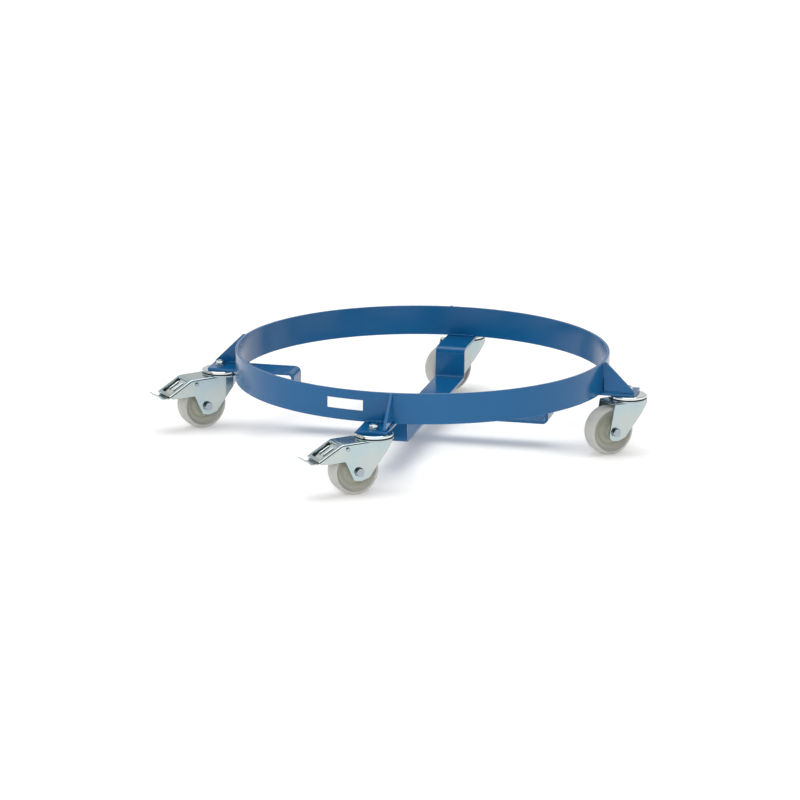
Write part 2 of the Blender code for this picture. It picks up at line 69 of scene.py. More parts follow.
# Caster, millimetres
KINGPIN_RADIUS = 4.0
KINGPIN_BORE = 4.5
KINGPIN_TOP = 13.6
KINGPIN_HEAD = (13.0, -17.1, -11.8)  # flats, low, high
KINGPIN_NUT = (13.0, 7.0, 12.5)
WASHER = (8.5, 5.3, 6.7)  # radius, low, high
CUP_RADIUS = 31.0
CUP_RIM = -4.9
CROWN_RADIUS = 32.0
BALL_CIRCLE = 20.5
BALL_RADIUS = 1.8
BALL_HEIGHT = -4.9
BALLS = 32
# Bounds of the race: faces inside them get near-black painted shade
RACE_EDGE = 30.9
RACE_TOP = -1.0
RACE_FLOOR = -7.9
FORK_HALF = 24.0
SHEET = 2.5
FORK_TOP = -8.0
FORK_BEND = 3.0
CHEEK_BOTTOM = -71.5
CORNER_RADIUS = 4.5
HOOD_KNEE = (66.5, -9.2)
HOOD_TIP = (107.0, -32.5)
WINDOW = (69.0, 102.5, 16.0)  # start, end, half width
AXLE_RADIUS = 4.0
AXLE_BORE = 4.3
AXLE_FLATS = 13.0
TUBE_RADIUS = 6.0
WHEEL_RADIUS = 40.0
THREAD_PITCH = 1.25
PIN_BORE = 2.7
PEDAL_SHEET = 1.8
PEDAL_HALF = 18.5
TONGUE_HALF = 15.0
SPRING_WIRE = 1.0
SPRING_COIL = 3.35
SPRING_TURNS = 5
SPRING_LENGTH = 19.0


# Shape helpers -----------------------------------------------------------------------------------


def fillet(corners, radius, steps, closed=False):
    """The 2D path through corners, each rounded with the radius, or with its own third value."""
    points = [Vector(corner[:2]) for corner in corners]
    path = []
    for index, corner in enumerate(points):
        own = corners[index][2] if len(corners[index]) > 2 else radius
        ends = not closed and index in (0, len(points) - 1)
        if ends or own == 0:
            path.append(corner)
            continue
        before = (points[index - 1] - corner).normalized()
        after = (points[(index + 1) % len(points)] - corner).normalized()
        half = before.angle(after) / 2
        if half > math.radians(89.5):
            path.append(corner)
            continue
        middle = corner + (before + after).normalized() * own / math.sin(half)
        start = (corner + before * own / math.tan(half) - middle).normalized()
        end = (corner + after * own / math.tan(half) - middle).normalized()
        for step in range(steps + 1):
            path.append(middle + start.slerp(end, step / steps) * own)
    return path


def finished(name, bm, sharp=35.0):
    """A smooth-shaded mesh in metres from a bmesh in millimetres."""
    bmesh.ops.recalc_face_normals(bm, faces=bm.faces)
    bmesh.ops.scale(bm, vec=(MM, MM, MM), verts=bm.verts)
    mesh = bpy.data.meshes.new(name)
    bm.to_mesh(mesh)
    bm.free()
    mesh.shade_smooth()
    mesh.set_sharp_from_angle(angle=math.radians(sharp))
    return mesh


def prism(outline, low, high, axes="XZ"):
    """A flat outline in the XZ or XY plane, given thickness from low to high along the third axis."""
    bm = bmesh.new()
    if axes == "XZ":
        corners = [bm.verts.new((u, low, v)) for u, v in outline]
        lift = Vector((0, high - low, 0))
    else:
        corners = [bm.verts.new((u, v, low)) for u, v in outline]
        lift = Vector((0, 0, high - low))
    extruded = bmesh.ops.extrude_face_region(bm, geom=[bm.faces.new(corners)])["geom"]
    raised = [item for item in extruded if isinstance(item, bmesh.types.BMVert)]
    bmesh.ops.translate(bm, verts=raised, vec=lift)
    bmesh.ops.recalc_face_normals(bm, faces=bm.faces)
    return bm


def lathe(profile, steps=96):
    """A closed (radius, z) profile turned round Z."""
    bm = bmesh.new()
    rings = []
    for radius, z in profile:
        ring = []
        for step in range(steps):
            angle = 2 * math.pi * step / steps
            ring.append(bm.verts.new((radius * math.cos(angle), radius * math.sin(angle), z)))
        rings.append(ring)
    for dish_shade, outer in zip(rings, rings[1:] + rings[:1]):
        for step in range(steps):
            after = (step + 1) % steps
            bm.faces.new((dish_shade[step], dish_shade[after], outer[after], outer[step]))
    bmesh.ops.recalc_face_normals(bm, faces=bm.faces)
    return bm


def shaft(rows, steps=48):
    """A round bar along Z through (radius, z) rows, capped at both ends; a radius may vary by angle."""
    bm = bmesh.new()
    rings = []
    for radius, z in rows:
        ring = []
        for step in range(steps):
            angle = 2 * math.pi * step / steps
            reach = radius(angle) if callable(radius) else radius
            ring.append(bm.verts.new((reach * math.cos(angle), reach * math.sin(angle), z)))
        rings.append(ring)
    for lower, upper in zip(rings, rings[1:]):
        for step in range(steps):
            after = (step + 1) % steps
            bm.faces.new((lower[step], lower[after], upper[after], upper[step]))
    bm.faces.new(rings[0])
    bm.faces.new(rings[-1])
    bmesh.ops.recalc_face_normals(bm, faces=bm.faces)
    return bm


def swept(path, section):
    """The outline that section(point, along) gives, carried along a 3D path and capped at both ends."""
    bm = bmesh.new()
    rows = []
    last = len(path) - 1
    for index, point in enumerate(path):
        along = (path[min(index + 1, last)] - path[max(index - 1, 0)]).normalized()
        rows.append([bm.verts.new(place) for place in section(point, along)])
    for first, second in zip(rows, rows[1:]):
        for step in range(len(first)):
            after = (step + 1) % len(first)
            bm.faces.new((first[step], first[after], second[after], second[step]))
    bm.faces.new(rows[0])
    bm.faces.new(rows[-1])
    bmesh.ops.recalc_face_normals(bm, faces=bm.faces)
    return bm


def rounded_box(half_u, half_v, radius, steps=3):
    corners = [(-half_u, -half_v), (half_u, -half_v), (half_u, half_v), (-half_u, half_v)]
    return fillet(corners, radius, steps, closed=True)


def along_y(bm, offset=(0, 0, 0)):
    """Turns a shape that runs along Z so that it runs along Y, then moves it."""
    bm.transform(Matrix.Rotation(math.radians(-90), 4, "X"))
    bmesh.ops.translate(bm, verts=bm.verts, vec=offset)
    return bm


def moved(bm, offset):
    bmesh.ops.translate(bm, verts=bm.verts, vec=offset)
    return bm


def joined(*shapes):
    """Several bmeshes as one."""
    whole = bmesh.new()
    for shape in shapes:
        mesh = bpy.data.meshes.new("join")
        shape.to_mesh(mesh)
        shape.free()
        whole.from_mesh(mesh)
        bpy.data.meshes.remove(mesh)
    return whole


def raw_object(name, bm):
    mesh = bpy.data.meshes.new(name)
    bm.to_mesh(mesh)
    bm.free()
    obj = bpy.data.objects.new(name, mesh)
    bpy.context.scene.collection.objects.link(obj)
    return obj


def carved(base, steps, edge=0.0, sharp=50.0):
    """The bmesh of base after each (operation, shape); edge rounds the sharp edges that are left."""
    body = raw_object("carve_base", base)
    others = [raw_object("carve_tool", shape) for _, shape in steps]
    for (operation, _), other in zip(steps, others):
        modifier = body.modifiers.new(operation, "BOOLEAN")
        modifier.operation = operation
        modifier.object = other
        modifier.solver = "EXACT"
    if edge:
        modifier = body.modifiers.new("edge", "BEVEL")
        modifier.width = edge
        modifier.segments = 2
        modifier.limit_method = "ANGLE"
        modifier.angle_limit = math.radians(sharp)
        modifier.use_clamp_overlap = True
    bpy.context.view_layer.update()
    graph = bpy.context.evaluated_depsgraph_get()
    mesh = bpy.data.meshes.new_from_object(body.evaluated_get(graph))
    bm = bmesh.new()
    bm.from_mesh(mesh)
    bmesh.ops.remove_doubles(bm, verts=bm.verts, dist=0.002)
    bmesh.ops.recalc_face_normals(bm, faces=bm.faces)
    bpy.data.meshes.remove(mesh)
    for done in (body, *others):
        bpy.data.objects.remove(done, do_unlink=True)
    return bm


def bead(path, radius, seed=0, ripple=2.4, relief=0.12):
    """A weld bead: a tube along the path with ripples and an uneven outline."""
    length = sum((b - a).length for a, b in zip(path, path[1:]))
    count = max(12, int(length / 0.55))
    points = resampled(path, count)
    rows = []
    bm = bmesh.new()
    sides = 12
    for index, point in enumerate(points):
        before = points[max(index - 1, 0)]
        after = points[min(index + 1, count - 1)]
        along = (after - before).normalized()
        side = along.orthogonal().normalized()
        other = along.cross(side)
        run = length * index / (count - 1)
        wave = abs(math.sin(math.pi * run / ripple))
        end = math.sqrt(max(0.04, min(1.0, min(run, length - run) / radius)))
        bulge = 1 + 0.12 * noise.noise(Vector((run * 0.35, seed * 3.7, 0.5)))
        reach = radius * (0.90 + relief * (wave - 0.5)) * end * bulge
        ring = []
        for step in range(sides):
            angle = 2 * math.pi * step / sides
            out = side * math.cos(angle) + other * math.sin(angle)
            ring.append(bm.verts.new(point + out * reach))
        rows.append(ring)
    for first, second in zip(rows, rows[1:]):
        for step in range(sides):
            after = (step + 1) % sides
            bm.faces.new((first[step], first[after], second[after], second[step]))
    bm.faces.new(rows[0])
    bm.faces.new(rows[-1])
    bmesh.ops.recalc_face_normals(bm, faces=bm.faces)
    return bm


def resampled(path, count):
    """The path as count points a constant distance apart."""
    marks = [0.0]
    for a, b in zip(path, path[1:]):
        marks.append(marks[-1] + (b - a).length)
    points = []
    piece = 0
    for index in range(count):
        run = marks[-1] * index / (count - 1)
        while piece < len(path) - 2 and run > marks[piece + 1]:
            piece += 1
        share = (run - marks[piece]) / (marks[piece + 1] - marks[piece])
        points.append(path[piece].lerp(path[piece + 1], share))
    return points


# Materials ---------------------------------------------------------------------------------------


class Graph:
    """A short way to write a material's node tree."""

    def __init__(self, name):
        self.material = bpy.data.materials.new(name)
        self.material.use_nodes = True
        self.tree = self.material.node_tree
        self.shader = self.tree.nodes["Principled BSDF"]

    def add(self, kind, inputs=(), **settings):
        node = self.tree.nodes.new(kind)
        for key, value in settings.items():
            setattr(node, key, value)
        for key, value in dict(inputs).items():
            self.put(node.inputs[key], value)
        return node

    def put(self, socket, value):
        if isinstance(value, bpy.types.NodeSocket):
            self.tree.links.new(value, socket)
        else:
            socket.default_value = value

    def place(self, stretch=(1, 1, 1)):
        where = self.add("ShaderNodeTexCoord").outputs["Object"]
        return self.add("ShaderNodeMapping", {"Vector": where, "Scale": stretch}).outputs["Vector"]

    def noise(self, scale, detail=3.0, stretch=(1, 1, 1), roughness=0.5):
        inputs = {"Vector": self.place(stretch), "Scale": scale, "Detail": detail, "Roughness": roughness}
        return self.add("ShaderNodeTexNoise", inputs).outputs["Fac"]

    def ramp(self, value, low, high, to_low, to_high):
        """value, clipped from low to high, spread over to_low to to_high."""
        inputs = {"Value": value, "From Min": low, "From Max": high, "To Min": to_low, "To Max": to_high}
        return self.add("ShaderNodeMapRange", inputs).outputs["Result"]

    def mix(self, factor, first, second):
        node = self.add("ShaderNodeMix", data_type="RGBA")
        self.put(node.inputs[0], factor)
        self.put(node.inputs[6], first)
        self.put(node.inputs[7], second)
        return node.outputs[2]

    def bump(self, height, distance, strength=1.0, normal=None):
        node = self.add("ShaderNodeBump", {"Height": height, "Distance": distance, "Strength": strength})
        if normal:
            self.put(node.inputs["Normal"], normal)
        return node.outputs["Normal"]

    def set(self, **values):
        for key, value in values.items():
            self.put(self.shader.inputs[key.replace("_", " ")], value)
        return self.material


def paint_material():
    """Glossy stoved enamel: faint orange peel, clouds of slightly different blue, a thin clear surface."""
    graph = Graph("blue_enamel")
    clouds = graph.ramp(graph.noise(9.0, 4.0), 0.35, 0.65, 0.0, 1.0)
    colour = graph.mix(clouds, (0.0035, 0.0930, 0.2430, 1), (0.0055, 0.1020, 0.2620, 1))
    dust = graph.ramp(graph.noise(900.0, 2.0), 0.70, 0.80, 0.0, 0.10)
    colour = graph.mix(dust, colour, (0.045, 0.17, 0.36, 1))
    rough = graph.ramp(graph.noise(35.0, 3.0), 0.3, 0.7, 0.16, 0.25)
    peel = graph.bump(graph.noise(420.0, 2.0), 0.00010, 0.35)
    normal = graph.bump(graph.noise(60.0, 2.0), 0.00030, 0.25, peel)
    return graph.set(
        Base_Color=colour, Roughness=rough, Normal=normal, IOR=1.38,
        Coat_Weight=0.06, Coat_Roughness=0.05, Coat_IOR=1.45,
    )


def zinc_material(name, tone, rough_low, rough_high, grain):
    """Bright zinc plating on pressed steel: rolling grain, and the faint blue and straw of passivation."""
    graph = Graph(name)
    film = graph.noise(28.0, 3.0)
    cool = tuple(value * shade for value, shade in zip(tone, (0.90, 1.00, 1.03))) + (1,)
    warm = tuple(value * shade for value, shade in zip(tone, (1.03, 1.01, 0.96))) + (1,)
    colour = graph.mix(graph.ramp(film, 0.38, 0.62, 0.0, 1.0), cool, warm)
    pink = graph.ramp(graph.noise(17.0, 2.0, (1.0, 1.0, 0.5)), 0.58, 0.72, 0.0, 0.35)
    rosy = tuple(value * shade for value, shade in zip(tone, (1.04, 0.95, 0.98))) + (1,)
    colour = graph.mix(pink, colour, rosy)
    streaks = graph.noise(grain, 3.0, (0.12, 1.0, 1.0), 0.6)
    specks = graph.noise(1300.0, 2.0)
    rough = graph.ramp(streaks, 0.30, 0.70, rough_low, rough_high)
    waves = graph.bump(graph.noise(24.0, 1.0), 0.0006, 0.10)
    normal = graph.bump(streaks, 0.00004, 0.14, waves)
    normal = graph.bump(specks, 0.00003, 0.15, normal)
    return graph.set(Base_Color=colour, Metallic=1.0, Roughness=rough, Normal=normal)


def polyamide_material():
    """Milky cast polyamide: slightly see-through, with faint turning marks round the axle, and painted shade
    in the dish.
    """
    graph = Graph("cast_polyamide")
    where = graph.add("ShaderNodeTexCoord").outputs["Object"]
    split = graph.add("ShaderNodeSeparateXYZ", {"Vector": where}).outputs
    flat = graph.add("ShaderNodeCombineXYZ", {"X": split["X"], "Z": split["Z"]}).outputs["Vector"]
    radius = graph.add("ShaderNodeVectorMath", {0: flat}, operation="LENGTH").outputs["Value"]
    # Painted shade: a darker, olive colour in the recessed dish towards the hub
    dish_shade = graph.ramp(radius, 0.024, 0.0360, 1.0, 0.0)
    clouds = graph.noise(38.0, 3.0)
    clouds = graph.ramp(clouds, 0.35, 0.65, 0.0, 1.0)
    colour = graph.mix(clouds, (0.430, 0.435, 0.410, 1), (0.480, 0.475, 0.442, 1))
    colour = graph.mix(graph.ramp(dish_shade, 0.0, 1.0, 0.0, 0.75), colour, (0.290, 0.300, 0.225, 1))
    scuffs = graph.ramp(graph.noise(240.0, 4.0, (1.0, 0.25, 1.0), 0.65), 0.60, 0.72, 0.0, 0.22)
    colour = graph.mix(scuffs, colour, (0.36, 0.35, 0.32, 1))
    rings = graph.add("ShaderNodeMath", {0: radius, 1: 5200.0}, operation="MULTIPLY").outputs["Value"]
    marks = graph.add("ShaderNodeMath", {0: rings}, operation="SINE").outputs["Value"]
    normal = graph.bump(marks, 0.00002, 0.35)
    normal = graph.bump(graph.noise(320.0, 3.0), 0.00006, 0.40, normal)
    rough = graph.ramp(graph.noise(90.0, 3.0), 0.3, 0.7, 0.34, 0.50)
    return graph.set(
        Base_Color=colour, Roughness=rough, Normal=normal, IOR=1.53,
        Subsurface_Weight=0.22, Subsurface_Radius=(1.0, 0.9, 0.7), Subsurface_Scale=0.004,
    )


def race_shade_material():
    """Near-black painted shade for the faces inside the race, a little lumpy."""
    graph = Graph("race_painted_shade")
    lumps = graph.noise(160.0, 3.0)
    shade = graph.ramp(lumps, 0.35, 0.65, 0.0, 1.0)
    colour = graph.mix(shade, (0.012, 0.012, 0.013, 1), (0.030, 0.028, 0.026, 1))
    rough = graph.ramp(graph.noise(90.0, 2.0), 0.3, 0.7, 0.30, 0.50)
    normal = graph.bump(lumps, 0.00020, 0.40)
    return graph.set(Base_Color=colour, Roughness=rough, Normal=normal, IOR=1.46)


def film_material():
    """A blank label of white plastic film."""
    graph = Graph("label_film")
    fibres = graph.ramp(graph.noise(700.0, 2.0), 0.3, 0.7, 0.0, 1.0)
    colour = graph.mix(fibres, (0.92, 0.93, 0.95, 1), (0.95, 0.96, 0.97, 1))
    rough = graph.ramp(graph.noise(120.0, 2.0), 0.3, 0.7, 0.28, 0.40)
    normal = graph.bump(graph.noise(260.0, 2.0), 0.00004, 0.30)
    return graph.set(Base_Color=colour, Roughness=rough, Normal=normal, IOR=1.46)


MATERIALS = {
    "blue_paint": paint_material(),
    "zinc_plate": zinc_material("zinc_sheet", (0.465, 0.525, 0.540), 0.15, 0.24, 260.0),
    "polyamide": polyamide_material(),
    "bearing_steel": zinc_material("ball_steel", (0.60, 0.61, 0.62), 0.08, 0.16, 500.0),
    "spring_steel": zinc_material("spring_wire", (0.33, 0.34, 0.35), 0.22, 0.36, 700.0),
    "white_film": film_material(),
}
BRIGHT_ZINC = zinc_material("zinc_turned", (0.760, 0.780, 0.785), 0.09, 0.16, 420.0)
FASTENER_ZINC = zinc_material("zinc_fastener", (0.360, 0.400, 0.440), 0.14, 0.26, 420.0)
PRESSED_ZINC = zinc_material("zinc_pressed", (0.640, 0.675, 0.680), 0.12, 0.20, 320.0)
# Near-black painted shade for the faces inside the race
RACE_SHADE = race_shade_material()


# Placing pieces ----------------------------------------------------------------------------------


def piece(name, mesh, slot, body, stands_for=(), matrix=None, material=None):
    """Adds a piece of the record's slot on a body, in place of the CAD nodes that it stands for."""
    if not mesh.materials:
        mesh.materials.append(material or MATERIALS[slot])
    obj = bpy.data.objects.new(name, mesh)
    bpy.context.scene.collection.objects.link(obj)
    if matrix:
        obj.matrix_world = matrix
    weighted = obj.modifiers.new("normals", "WEIGHTED_NORMAL")
    weighted.keep_sharp = True
    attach(obj, body)
    if stands_for:
        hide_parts(*stands_for)
    return obj


def box_mm(node):
    low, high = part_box(node)
    return low / MM, high / MM


# Frame -------------------------------------------------------------------------------------------

ring_low, ring_high = box_mm("guide_ring")
RING_OUTER = ring_high.x
RING_MIDDLE = RING_OUTER - BAR_THICKNESS / 2
RING_BOTTOM = ring_low.z
RING_TOP = ring_high.z
FLANGE_TOP = box_mm("cross_strip_front_back")[1].z


def ring_mesh():
    section = rounded_box(BAR_THICKNESS / 2, BAR_WIDTH / 2, EDGE_RADIUS)
    profile = [(RING_MIDDLE + u, (RING_BOTTOM + RING_TOP) / 2 + v) for u, v in section]
    return finished("ring", lathe(profile, RING_STEPS))


def strip_mesh(name, azimuth):
    """A flat bar bent to flange, riser, low run, riser, flange, with its two kingpin holes."""
    low, high = box_mm(name)
    end = high.x if azimuth == 0 else high.y
    low_middle = low.z + BAR_THICKNESS / 2
    top_middle = high.z - BAR_THICKNESS / 2
    corners = [
        (-end, top_middle), (-RISER_REACH, top_middle), (-RISER_REACH, low_middle),
        (RISER_REACH, low_middle), (RISER_REACH, top_middle), (end, top_middle),
    ]
    flat = fillet(corners, BEND_RADIUS, 10)
    path = [Vector((x, 0, z)) for x, z in flat]
    shape = rounded_box(BAR_WIDTH / 2, BAR_THICKNESS / 2, EDGE_RADIUS)

    def section(point, along):
        up = Vector((-along.z, 0, along.x))
        return [point + Vector((0, 1, 0)) * u + up * v for u, v in shape]

    bm = swept(path, section)
    steps = []
    for side in (-1, 1):
        drill = shaft([(KINGPIN_BORE, high.z - 12), (KINGPIN_BORE, high.z + 6)], 40)
        steps.append(("DIFFERENCE", moved(drill, (side * KINGPIN_CIRCLE, 0, 0))))
    bm = carved(bm, steps)
    bm.transform(Matrix.Rotation(math.radians(azimuth), 4, "Z"))
    return finished(name, bm)


def gusset_mesh(place, azimuth, side):
    """A triangular plate with softened edges, its foot cut to the ring."""
    foot = RING_OUTER + GAP
    outline = fillet(
        [
            (foot, RING_BOTTOM, 0), (foot + GUSSET_REACH, RING_BOTTOM, 0),
            (foot + GUSSET_REACH, RING_BOTTOM + 3, 1.2), (foot + 3, RING_TOP, 1.2), (foot, RING_TOP, 0),
        ],
        0, 4, closed=True,
    )
    centre = side * GUSSET_ACROSS
    bm = prism(outline, centre - BAR_THICKNESS / 2, centre + BAR_THICKNESS / 2)
    for vertex in bm.verts:
        if vertex.co.x < foot + 0.5:
            vertex.co.x = math.sqrt(foot**2 - vertex.co.y**2) + GAP
    edges = [edge for edge in bm.edges if len(edge.link_faces) == 2 and edge.calc_face_angle() > 1.0]
    bmesh.ops.bevel(bm, geom=edges, offset=0.5, segments=2, profile=0.5, affect="EDGES")
    bm.transform(Matrix.Rotation(math.radians(azimuth), 4, "Z"))
    return finished(f"gusset_{place}", bm)


def arc_path(radius, low, high, z, steps=16):
    """Points on a circle of the radius between two offsets across the X axis."""
    points = []
    for step in range(steps + 1):
        y = low + (high - low) * step / steps
        points.append(Vector((math.sqrt(radius**2 - y**2), y, z)))
    return points


# Short tacks under the ring's outer edge: from and to, across the flange
TACKS = {"right": ((-41.0, -34.0),), "left": ((25.5, 31.0),)}


def weld_mesh(place, azimuth, side, seed):
    """The fillet beads that hold the ring, the gusset and the flange of one corner together."""
    outer = RING_OUTER + 1.2
    dish_shade = RING_OUTER - BAR_THICKNESS - 0.9
    z = FLANGE_TOP + 1.2
    face = side * (GUSSET_ACROSS - BAR_THICKNESS / 2)
    far = side * (GUSSET_ACROSS + BAR_THICKNESS / 2)
    shapes = [
        bead(arc_path(outer, -side * 23.0, side * 14.0, z + 0.6), 4.0, seed, 4.2, 0.24),
        bead(arc_path(dish_shade, -23.0, 23.0, z - 0.2), 2.4, seed + 1),
    ]
    foot = RING_OUTER + 2
    base = [Vector((foot + run, face - side * 0.5, z - 0.2)) for run in (0, 13, 26)]
    shapes.append(bead(base, 2.5, seed + 2, 3.6, 0.20))
    outside = [Vector((foot + run, far + side * 0.5, z - 0.2)) for run in (0, 13, 26)]
    shapes.append(bead(outside, 1.5, seed + 3))
    upright = [Vector((foot - 1.2, face - side * 0.3, z + rise)) for rise in (0, 12, 24)]
    shapes.append(bead(upright, 1.7, seed + 4))
    for start, end in TACKS.get(place, ()):
        tack = arc_path(RING_OUTER + 0.2, start, end, RING_BOTTOM + 0.2, 6)
        shapes.append(bead(tack, 2.3, seed + 6))
    bm = joined(*shapes)
    bm.transform(Matrix.Rotation(math.radians(azimuth), 4, "Z"))
    return finished(f"weld_{place}", bm, 60)


def crossing_weld_mesh():
    """Beads along the two edges where the upper strip lies on the lower one."""
    half = BAR_WIDTH / 2
    shapes = []
    for side in (-1, 1):
        path = [Vector((side * (half + 0.7), y, -BAR_THICKNESS + 0.2)) for y in (-21, 0, 21)]
        shapes.append(bead(path, 2.0, 40 + side))
    return finished("weld_crossing", joined(*shapes), 60)


def label_mesh():
    """A blank label, bent to the ring."""
    low, high = box_mm("blank_label")
    radius = RING_OUTER + 0.9
    middle = math.atan2((low.y + high.y) / 2, (low.x + high.x) / 2)
    half_length = 31.0
    half_height = (high.z - low.z) / 2
    z_middle = (high.z + low.z) / 2
    outline = rounded_box(half_length, half_height, 0.6, 3)
    thickness = 0.2
    bm = prism(outline, 0.0, thickness * 2, axes="XY")
    columns = 24
    for column in range(1, columns):
        u = -half_length + 2 * half_length * column / columns
        bmesh.ops.bisect_plane(
            bm, geom=bm.verts[:] + bm.edges[:] + bm.faces[:], plane_co=(u, 0, 0), plane_no=(1, 0, 0)
        )
    for vertex in bm.verts:
        u, v, depth = vertex.co
        angle = middle + u / radius
        reach = radius - thickness + depth
        vertex.co = (reach * math.cos(angle), reach * math.sin(angle), z_middle + v)
    return finished("blank_label", bm)


# Caster head -------------------------------------------------------------------------------------


def cup_mesh():
    """The upper raceway: a pressed dish with a rolled rim, and the boss that the kingpin clamps."""
    outer = [(24.5, -0.3, 0), (29.4, -0.5, 0.8), (CUP_RADIUS, -1.5, 1.0), (CUP_RADIUS, CUP_RIM, 0.5)]
    dish_shade = [(29.8, CUP_RIM, 0.4), (29.3, -3.5, 0.6), (24.0, -2.7, 1.0), (14.0, -2.7, 0.6), (12.5, -6.5, 0.3)]
    bore = [(KINGPIN_BORE, -6.5, 0), (KINGPIN_BORE, -0.3, 0)]
    mesh = finished("raceway_cup", lathe(fillet(outer + dish_shade + bore, 0, 5, closed=True), 128))
    # The cup's faces inside the race get near-black painted shade
    return with_race_shade(mesh, BRIGHT_ZINC)


def with_race_shade(mesh, finish):
    """Gives the mesh its finish, and near-black painted shade on its faces inside the race."""
    mesh.materials.append(finish)
    mesh.materials.append(RACE_SHADE)
    for face in mesh.polygons:
        x, y, z = face.center / MM
        radius = math.hypot(x, y)
        # Faces inside the race get the near-black painted shade
        if KINGPIN_BORE + 0.2 < radius < RACE_EDGE and RACE_FLOOR < z < RACE_TOP:
            face.material_index = 1
    return mesh


def ball_mesh():
    """The open ring of bearing balls."""
    shapes = []
    for index in range(BALLS):
        angle = 2 * math.pi * index / BALLS
        ball = bmesh.new()
        bmesh.ops.create_uvsphere(ball, u_segments=16, v_segments=10, radius=BALL_RADIUS)
        spot = (BALL_CIRCLE * math.cos(angle), BALL_CIRCLE * math.sin(angle), BALL_HEIGHT)
        shapes.append(moved(ball, spot))
    return finished("ball_ring", joined(*shapes), 80)


def washer_mesh():
    outer, low, high = WASHER
    bore = KINGPIN_BORE
    profile = [(bore, low, 0.2), (outer, low, 0.3), (outer, high, 0.4), (bore, high, 0.3)]
    return finished("kingpin_washer", lathe(fillet(profile, 0, 3, closed=True), 96))


def hexagon(flats, low, high, bore=0.0):
    """A hexagonal head or nut with turned chamfers, and a bore if it has one."""
    corner = flats / math.sqrt(3)
    angles = [math.radians(60 * k) for k in range(6)]
    points = [(corner * math.cos(angle), corner * math.sin(angle)) for angle in angles]
    body = prism(points, low, high, axes="XY")
    rise = (corner - flats * 0.475) * math.tan(math.radians(30))
    rows = [
        (flats * 0.475, low - 0.001), (corner + 0.5, low + rise * 1.15),
        (corner + 0.5, high - rise * 1.15), (flats * 0.475, high + 0.001),
    ]
    steps = [("INTERSECT", shaft(rows, 72))]
    if bore:
        steps.append(("DIFFERENCE", shaft([(bore, low - 2), (bore, high + 2)], 48)))
    return carved(body, steps, edge=0.18, sharp=25)


def threaded(radius, low, high, pitch, steps=48):
    """Thread turns on a bar, with a chamfered end."""
    depth = pitch * 0.45
    rows = []
    count = int((high - low) / pitch * 8)
    for index in range(count + 1):
        z = low + (high - low) * index / count
        tip = min(1.0, (high - z) / (depth * 1.2))

        def reach(angle, z=z, tip=tip):
            phase = (z / pitch - angle / (2 * math.pi)) % 1.0
            groove = abs(2 * phase - 1)
            return min(radius - depth * (1 - groove) * 0.9, radius - depth * (1 - tip))

        rows.append((reach, z))
    return shaft(rows, steps)


def kingpin_mesh():
    flats, low, high = KINGPIN_HEAD
    nut_top = KINGPIN_NUT[2]
    plain = shaft([(KINGPIN_RADIUS, high - 1.0), (KINGPIN_RADIUS, nut_top - 2.0)], 48)
    thread = threaded(KINGPIN_RADIUS, nut_top - 2.0, KINGPIN_TOP, THREAD_PITCH)
    return finished("kingpin_bolt", joined(hexagon(flats, low, high), plain, thread))


def kingpin_nut_mesh():
    flats, low, high = KINGPIN_NUT
    return finished("kingpin_nut", hexagon(flats, low, high, bore=KINGPIN_RADIUS + GAP))


# Fork --------------------------------------------------------------------------------------------


def crown():
    """The lower raceway: a dished plate with a rolled lip that overhangs the fork."""
    profile = [
        (2.0, -7.2, 0), (17.0, -7.2, 1.0), (28.4, -7.1, 0.8), (30.2, -6.6, 0.5), (CROWN_RADIUS, -6.9, 0.6),
        (CROWN_RADIUS, -9.3, 0.8), (30.0, -10.0, 0.8), (24.0, -10.3, 2.0), (19.0, -11.5, 0), (2.0, -11.5, 0),
    ]
    return lathe(fillet(profile, 0, 4, closed=True), 128)


def plain_outline():
    corners = [
        (-29.0, FORK_TOP, 0), (-31.0, -15.0), (3.0, -48.0, 12), (18.5, -67.0, 9), (33.0, CHEEK_BOTTOM, 9),
        (46.5, -70.0, 8), (49.0, -60.5, 10), (38.8, FORK_TOP, 0),
    ]
    return fillet(corners, CORNER_RADIUS, 8, closed=True)


def braked_outline():
    corners = [
        (-23.5, FORK_TOP, 0), (-25.5, -15.0), (3.5, -46.5, 12), (19.0, -67.0, 9), (33.0, CHEEK_BOTTOM, 9),
        (45.5, -70.0, 7), (61.0, -37.0, 3), (94.0, -38.2, 4), (104.0, -37.5, 2), HOOD_TIP + (0,),
        HOOD_KNEE + (14,), (30.0, FORK_TOP, 0),
    ]
    return fillet(corners, CORNER_RADIUS, 8, closed=True)


def plan_outline(inset, reach):
    """Plan view: parallel cheeks that close in behind the swivel axis."""
    half = FORK_HALF - inset
    side = [(reach, half), (3.0, half), (-13.0, half - 3.0), (-26.0, half - 9.0), (-40.0, half - 17.0)]
    side = fillet([side[0]] + [point + (16.0,) for point in side[1:-1]] + [side[-1]], 16.0, 5)
    return [tuple(point) for point in side] + [(x, -y) for x, y in reversed(side)]


def bend_top(bm, radius, steps, slope=0.6):
    """Rounds the long edges where the top sheet turns down into the cheeks."""
    bmesh.ops.recalc_face_normals(bm, faces=bm.faces)
    bm.normal_update()
    chosen = []
    for edge in bm.edges:
        if len(edge.link_faces) != 2:
            continue
        tops = [face for face in edge.link_faces if face.normal.z > slope]
        sides = [face for face in edge.link_faces if abs(face.normal.y) > slope]
        if tops and sides:
            chosen.append(edge)
    bmesh.ops.bevel(bm, geom=chosen, offset=radius, segments=steps, profile=0.5, affect="EDGES")
    return bm


